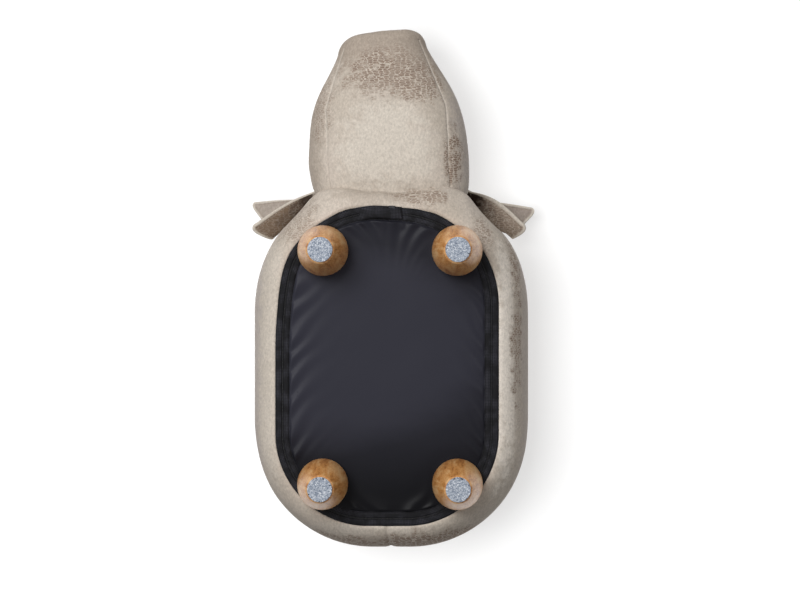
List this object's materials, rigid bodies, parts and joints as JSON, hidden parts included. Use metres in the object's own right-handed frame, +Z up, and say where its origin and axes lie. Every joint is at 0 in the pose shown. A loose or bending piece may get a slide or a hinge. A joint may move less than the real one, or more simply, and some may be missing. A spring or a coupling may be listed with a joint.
{
  "type": "pig stool",
  "caption": "Pig-shaped upholstered footstool: crowned seat, padded head with folded ears, curled tail, zipped bottom panel and turned screw-in legs.",
  "frame": {"origin": "middle of the footprint of the whole stool, on the floor under its felt pads", "axes": "+Z up, -Y towards the snout, +Y towards the tail, +X to the right seen from in front of the snout; left and right in the names are as seen from there, so left is -X"},
  "size_m": [0.3716, 0.6592, 0.34],
  "materials": {
    "distressed_faux_leather": "matte",
    "dark_faux_leather": "matte",
    "black_button": "gloss",
    "black_nylon": "satin",
    "black_zip_tape": "matte",
    "black_zip_coil": "satin",
    "black_zinc": "satin",
    "varnished_hardwood": "satin",
    "grey_felt": "matte",
    "zinc_steel": "satin",
    "birch_plywood": "matte",
    "hardboard": "matte",
    "pine": "matte",
    "upholstery_foam": "matte"
  },
  "bodies": {
    "stool": {"seat_panel": "distressed_faux_leather", "left_side_panel": "distressed_faux_leather", "right_side_panel": "distressed_faux_leather", "throat_panel": "distressed_faux_leather", "brow_panel": "distressed_faux_leather", "left_cheek_panel": "distressed_faux_leather", "right_cheek_panel": "distressed_faux_leather", "snout_disc": "distressed_faux_leather", "tail": "distressed_faux_leather", "nostril_patches": "dark_faux_leather", "left_eye": "black_button", "right_eye": "black_button", "bottom_panel": "black_nylon", "zip_outer_tape": "black_zip_tape", "zip_inner_tape": "black_zip_tape", "zip_garage": "black_zip_tape", "zip_coil": "black_zip_coil", "zip_slider": "black_zinc", "tee_nuts": "zinc_steel", "frame_screws": "zinc_steel", "base_board": "birch_plywood", "seat_board": "birch_plywood", "neck_board": "birch_plywood", "frame_wrap": "hardboard", "front_left_post": "pine", "rear_left_post": "pine", "front_right_post": "pine", "rear_right_post": "pine", "front_rail": "pine", "side_foam": "upholstery_foam", "seat_foam": "upholstery_foam", "head_foam": "upholstery_foam"},
    "left_ear": {"left_ear": "distressed_faux_leather"},
    "right_ear": {"right_ear": "distressed_faux_leather"},
    "front_left_washer": {"front_left_lock_washer": "zinc_steel"},
    "front_left_leg": {"front_left_leg": "varnished_hardwood", "front_left_felt_pad": "grey_felt", "front_left_hanger_bolt": "zinc_steel"},
    "rear_left_washer": {"rear_left_lock_washer": "zinc_steel"},
    "rear_left_leg": {"rear_left_leg": "varnished_hardwood", "rear_left_felt_pad": "grey_felt", "rear_left_hanger_bolt": "zinc_steel"},
    "front_right_washer": {"front_right_lock_washer": "zinc_steel"},
    "front_right_leg": {"front_right_leg": "varnished_hardwood", "front_right_felt_pad": "grey_felt", "front_right_hanger_bolt": "zinc_steel"},
    "rear_right_washer": {"rear_right_lock_washer": "zinc_steel"},
    "rear_right_leg": {"rear_right_leg": "varnished_hardwood", "rear_right_felt_pad": "grey_felt", "rear_right_hanger_bolt": "zinc_steel"}
  },
  "joints": [
    {"name": "left_ear_flap", "type": "hinge", "parent": "stool", "child": "left_ear", "pos_m": [-0.10176, -0.119, 0.26], "axis": [0, 0, 1], "range_deg": [-8, 45], "stiffness_Nm_per_rad": 0.05},
    {"name": "right_ear_flap", "type": "hinge", "parent": "stool", "child": "right_ear", "pos_m": [0.10176, -0.119, 0.26], "axis": [0, 0, -1], "range_deg": [-8, 45], "stiffness_Nm_per_rad": 0.05},
    {"name": "front_left_leg_drop", "type": "slide", "parent": "stool", "child": "front_left_washer", "axis": [0, 0, -1], "range_m": [0, 0.0201]},
    {"name": "front_left_leg_turn", "type": "hinge", "parent": "front_left_washer", "child": "front_left_leg", "pos_m": [-0.08231, -0.0455, 0.09], "axis": [0, 0, -1], "range_deg": [0, 5760]},
    {"name": "rear_left_leg_drop", "type": "slide", "parent": "stool", "child": "rear_left_washer", "axis": [0, 0, -1], "range_m": [0, 0.0201]},
    {"name": "rear_left_leg_turn", "type": "hinge", "parent": "rear_left_washer", "child": "rear_left_leg", "pos_m": [-0.0827, 0.24078, 0.09], "axis": [0, 0, -1], "range_deg": [0, 5760]},
    {"name": "front_right_leg_drop", "type": "slide", "parent": "stool", "child": "front_right_washer", "axis": [0, 0, -1], "range_m": [0, 0.0201]},
    {"name": "front_right_leg_turn", "type": "hinge", "parent": "front_right_washer", "child": "front_right_leg", "pos_m": [0.08231, -0.0455, 0.09], "axis": [0, 0, -1], "range_deg": [0, 5760]},
    {"name": "rear_right_leg_drop", "type": "slide", "parent": "stool", "child": "rear_right_washer", "axis": [0, 0, -1], "range_m": [0, 0.0201]},
    {"name": "rear_right_leg_turn", "type": "hinge", "parent": "rear_right_washer", "child": "rear_right_leg", "pos_m": [0.0827, 0.24078, 0.09], "axis": [0, 0, -1], "range_deg": [0, 5760]}
  ],
  "couplings": [
    {"joint": "front_left_leg_drop", "follows": "front_left_leg_turn", "m_per_rad": 0.00019894},
    {"joint": "rear_left_leg_drop", "follows": "rear_left_leg_turn", "m_per_rad": 0.00019894},
    {"joint": "front_right_leg_drop", "follows": "front_right_leg_turn", "m_per_rad": 0.00019894},
    {"joint": "rear_right_leg_drop", "follows": "rear_right_leg_turn", "m_per_rad": 0.00019894}
  ]
}
